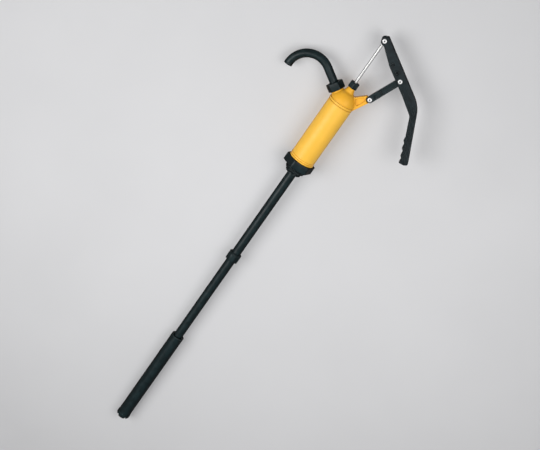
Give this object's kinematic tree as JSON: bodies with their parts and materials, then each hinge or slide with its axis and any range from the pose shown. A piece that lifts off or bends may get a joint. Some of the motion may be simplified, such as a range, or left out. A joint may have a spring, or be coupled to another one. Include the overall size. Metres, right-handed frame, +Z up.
{
  "type": "drum barrel pump",
  "caption": "Lever-action barrel pump that screws into a drum bung, with a domed head, gooseneck spout and telescopic suction tube.",
  "frame": {"origin": "on the pump's axis, at the underside of the base hexagon that seats on the drum", "axes": "+Z up along the barrel and rod, +X towards the lever, -X towards the spout"},
  "size_m": [0.4409, 0.0876, 1.4311],
  "materials": {
    "yellow_plastic": "satin moulded",
    "black_plastic": "satin moulded",
    "inner_plastic": "moulded, inside the pump",
    "bearing_plastic": "white low-friction plastic",
    "rod_steel": "polished",
    "pin_steel": "plated",
    "seal_rubber": "moulded"
  },
  "bodies": {
    "root": {"barrel": "yellow_plastic", "head": "yellow_plastic", "head_seal": "seal_rubber", "base_cap": "black_plastic", "base_seal": "seal_rubber", "valve_seat": "inner_plastic", "valve_cage": "inner_plastic", "upper_tube": "black_plastic", "tube_coupling": "black_plastic", "coupling_seals": "seal_rubber", "lower_tube": "black_plastic", "stop_ring": "inner_plastic", "stop_seal": "seal_rubber", "gland_packing": "bearing_plastic", "rod_bush": "bearing_plastic", "bracket_pin_rivet": "pin_steel", "bracket_pin_clip": "pin_steel"},
    "rod": {"piston_rod": "rod_steel", "rod_eye": "pin_steel", "piston_nut": "pin_steel", "piston_follower": "inner_plastic", "piston_cup": "seal_rubber", "piston_plate": "inner_plastic", "valve_keeper": "pin_steel"},
    "lever": {"lever": "black_plastic", "rod_pin_rivet": "pin_steel", "lever_pin_rivet": "pin_steel", "lever_pin_clips": "pin_steel"},
    "link": {"link": "black_plastic"},
    "spout": {"spout": "black_plastic", "spout_seal": "seal_rubber"},
    "spout_nut": {"spout_nut": "black_plastic"},
    "gland_nut": {"gland_nut": "black_plastic"},
    "sleeve": {"sleeve": "black_plastic", "sleeve_bush": "black_plastic", "foot_strainer": "black_plastic"},
    "suction_valve": {"suction_valve": "seal_rubber"},
    "piston_valve": {"piston_valve": "seal_rubber"}
  },
  "joints": [
    {"name": "rod_stroke", "type": "slide", "parent": "root", "child": "rod", "axis": [0, 0, -1], "range_m": [0, 0.09]},
    {"name": "lever_pivot", "type": "hinge", "parent": "rod", "child": "lever", "pos_m": [0, 0, 0.431], "axis": [0, -1, 0], "range_deg": [0, 39]},
    {"name": "link_pivot", "type": "hinge", "parent": "root", "child": "link", "pos_m": [0.0585, 0, 0.2765], "axis": [0, 1, 0], "range_deg": [0, 17]},
    {"name": "spout_swivel", "type": "hinge", "parent": "root", "child": "spout", "pos_m": [-0.03082, 0, 0.24621], "axis": [-0.8387, 0, 0.5446], "range_deg": [-90, 90]},
    {"name": "spout_nut_turn", "type": "hinge", "parent": "root", "child": "spout_nut", "pos_m": [-0.03082, 0, 0.24621], "axis": [-0.8387, 0, 0.5446], "continuous": true},
    {"name": "gland_nut_turn", "type": "hinge", "parent": "root", "child": "gland_nut", "pos_m": [0, 0, 0.28], "axis": [0, 0, 1], "continuous": true},
    {"name": "sleeve_slide", "type": "slide", "parent": "root", "child": "sleeve", "axis": [0, 0, 1], "range_m": [0, 0.27]},
    {"name": "suction_valve_lift", "type": "slide", "parent": "root", "child": "suction_valve", "axis": [0, 0, 1], "range_m": [0, 0.005]},
    {"name": "piston_valve_lift", "type": "slide", "parent": "rod", "child": "piston_valve", "axis": [0, 0, 1], "range_m": [0, 0.004]}
  ],
  "couplings": [
    {"joint": "lever_pivot", "follows": "rod_stroke", "rad_per_m": 7.522},
    {"joint": "link_pivot", "follows": "rod_stroke", "rad_per_m": 3.246}
  ]
}
